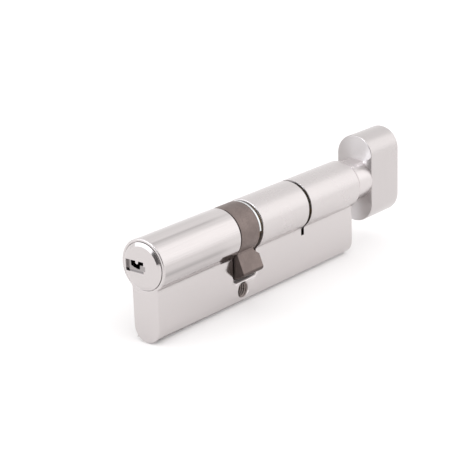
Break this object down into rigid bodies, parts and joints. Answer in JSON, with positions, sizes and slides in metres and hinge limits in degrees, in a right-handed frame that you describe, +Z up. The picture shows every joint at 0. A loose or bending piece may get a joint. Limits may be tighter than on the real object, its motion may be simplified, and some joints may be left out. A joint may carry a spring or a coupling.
{
  "type": "euro cylinder lock",
  "caption": "Euro-profile lock cylinder with a keyed plug at one end, a thumbturn knob at the other, and a turning cam in the gap between them.",
  "frame": {"origin": "centre of the M5 fixing-screw hole, in the middle of the web's thickness", "axes": "+X along the plug axis from the key end to the thumbturn, +Z up from the web to the barrel, +Y across the web"},
  "size_m": [0.1259, 0.0174, 0.04],
  "materials": {
    "housing_nickel": "nickel plate on brass, polished on the key half and satin on the thumbturn half",
    "plug_nickel": "polished nickel plate on brass",
    "knob_nickel": "brushed nickel plate",
    "cam_steel": "oiled sintered steel, dull grey brown",
    "clip_steel": "bright spring steel",
    "spring_steel": "drawn spring wire",
    "hard_steel": "ground hardened steel",
    "brass": "turned brass"
  },
  "bodies": {
    "housing": {"housing": "housing_nickel", "chamber_plug_1": "brass", "chamber_plug_2": "brass", "chamber_plug_3": "brass", "chamber_plug_4": "brass", "chamber_plug_5": "brass", "chamber_plug_6": "brass", "pin_spring_1": "spring_steel", "pin_spring_2": "spring_steel", "pin_spring_3": "spring_steel", "pin_spring_4": "spring_steel", "pin_spring_5": "spring_steel", "pin_spring_6": "spring_steel", "body_drill_pin_1": "hard_steel", "body_drill_pin_2": "hard_steel", "slit_clip": "clip_steel"},
    "key_plug": {"key_plug": "plug_nickel", "plug_clip": "clip_steel", "plug_drill_pin_1": "hard_steel", "plug_drill_pin_2": "hard_steel"},
    "thumbturn": {"turn_rotor": "brass", "gap_clip": "clip_steel", "knob": "knob_nickel", "knob_grub_screw": "hard_steel", "coupling_spring": "spring_steel"},
    "cam": {"cam": "cam_steel"},
    "key_coupling": {"key_coupling": "hard_steel"},
    "turn_coupling": {"turn_coupling": "hard_steel"},
    "key_pin_1": {"key_pin_1": "brass"},
    "driver_pin_1": {"driver_pin_1": "hard_steel"},
    "key_pin_2": {"key_pin_2": "brass"},
    "driver_pin_2": {"driver_pin_2": "hard_steel"},
    "key_pin_3": {"key_pin_3": "brass"},
    "driver_pin_3": {"driver_pin_3": "hard_steel"},
    "key_pin_4": {"key_pin_4": "brass"},
    "driver_pin_4": {"driver_pin_4": "hard_steel"},
    "key_pin_5": {"key_pin_5": "brass"},
    "driver_pin_5": {"driver_pin_5": "hard_steel"},
    "key_pin_6": {"key_pin_6": "brass"},
    "driver_pin_6": {"driver_pin_6": "hard_steel"}
  },
  "joints": [
    {"name": "key_turn", "type": "hinge", "parent": "housing", "child": "key_plug", "pos_m": [0, 0, 0.0189], "axis": [1, 0, 0], "continuous": true},
    {"name": "thumb_turn", "type": "hinge", "parent": "housing", "child": "thumbturn", "pos_m": [0, 0, 0.0189], "axis": [1, 0, 0], "continuous": true},
    {"name": "cam_turn", "type": "hinge", "parent": "housing", "child": "cam", "pos_m": [0, 0, 0.0189], "axis": [1, 0, 0], "continuous": true},
    {"name": "clutch_slide", "type": "slide", "parent": "thumbturn", "child": "turn_coupling", "axis": [1, 0, 0], "range_m": [0, 0.0039], "stiffness_N_per_m": 300, "springref_m": -0.003, "deforming": ["coupling_spring"]},
    {"name": "key_coupling_slide", "type": "slide", "parent": "key_plug", "child": "key_coupling", "axis": [1, 0, 0], "range_m": [0, 0.0039]},
    {"name": "key_pin_1_slide", "type": "slide", "parent": "key_plug", "child": "key_pin_1", "axis": [0, 0, 1], "range_m": [0, 0.0011]},
    {"name": "driver_pin_1_slide", "type": "slide", "parent": "housing", "child": "driver_pin_1", "axis": [0, 0, -1], "range_m": [0, 0.0018], "stiffness_N_per_m": 150, "springref_m": -0.004, "deforming": ["pin_spring_1"]},
    {"name": "key_pin_2_slide", "type": "slide", "parent": "key_plug", "child": "key_pin_2", "axis": [0, 0, 1], "range_m": [0, 0.0011]},
    {"name": "driver_pin_2_slide", "type": "slide", "parent": "housing", "child": "driver_pin_2", "axis": [0, 0, -1], "range_m": [0, 0.0018], "stiffness_N_per_m": 150, "springref_m": -0.004, "deforming": ["pin_spring_2"]},
    {"name": "key_pin_3_slide", "type": "slide", "parent": "key_plug", "child": "key_pin_3", "axis": [0, 0, 1], "range_m": [0, 0.0011]},
    {"name": "driver_pin_3_slide", "type": "slide", "parent": "housing", "child": "driver_pin_3", "axis": [0, 0, -1], "range_m": [0, 0.0018], "stiffness_N_per_m": 150, "springref_m": -0.004, "deforming": ["pin_spring_3"]},
    {"name": "key_pin_4_slide", "type": "slide", "parent": "key_plug", "child": "key_pin_4", "axis": [0, 0, 1], "range_m": [0, 0.0011]},
    {"name": "driver_pin_4_slide", "type": "slide", "parent": "housing", "child": "driver_pin_4", "axis": [0, 0, -1], "range_m": [0, 0.0018], "stiffness_N_per_m": 150, "springref_m": -0.004, "deforming": ["pin_spring_4"]},
    {"name": "key_pin_5_slide", "type": "slide", "parent": "key_plug", "child": "key_pin_5", "axis": [0, 0, 1], "range_m": [0, 0.0011]},
    {"name": "driver_pin_5_slide", "type": "slide", "parent": "housing", "child": "driver_pin_5", "axis": [0, 0, -1], "range_m": [0, 0.0018], "stiffness_N_per_m": 150, "springref_m": -0.004, "deforming": ["pin_spring_5"]},
    {"name": "key_pin_6_slide", "type": "slide", "parent": "key_plug", "child": "key_pin_6", "axis": [0, 0, 1], "range_m": [0, 0.0011]},
    {"name": "driver_pin_6_slide", "type": "slide", "parent": "housing", "child": "driver_pin_6", "axis": [0, 0, -1], "range_m": [0, 0.0018], "stiffness_N_per_m": 150, "springref_m": -0.004, "deforming": ["pin_spring_6"]}
  ],
  "couplings": [
    {"joint": "cam_turn", "follows": "thumb_turn", "ratio": 1},
    {"joint": "key_coupling_slide", "follows": "clutch_slide", "ratio": 1}
  ]
}
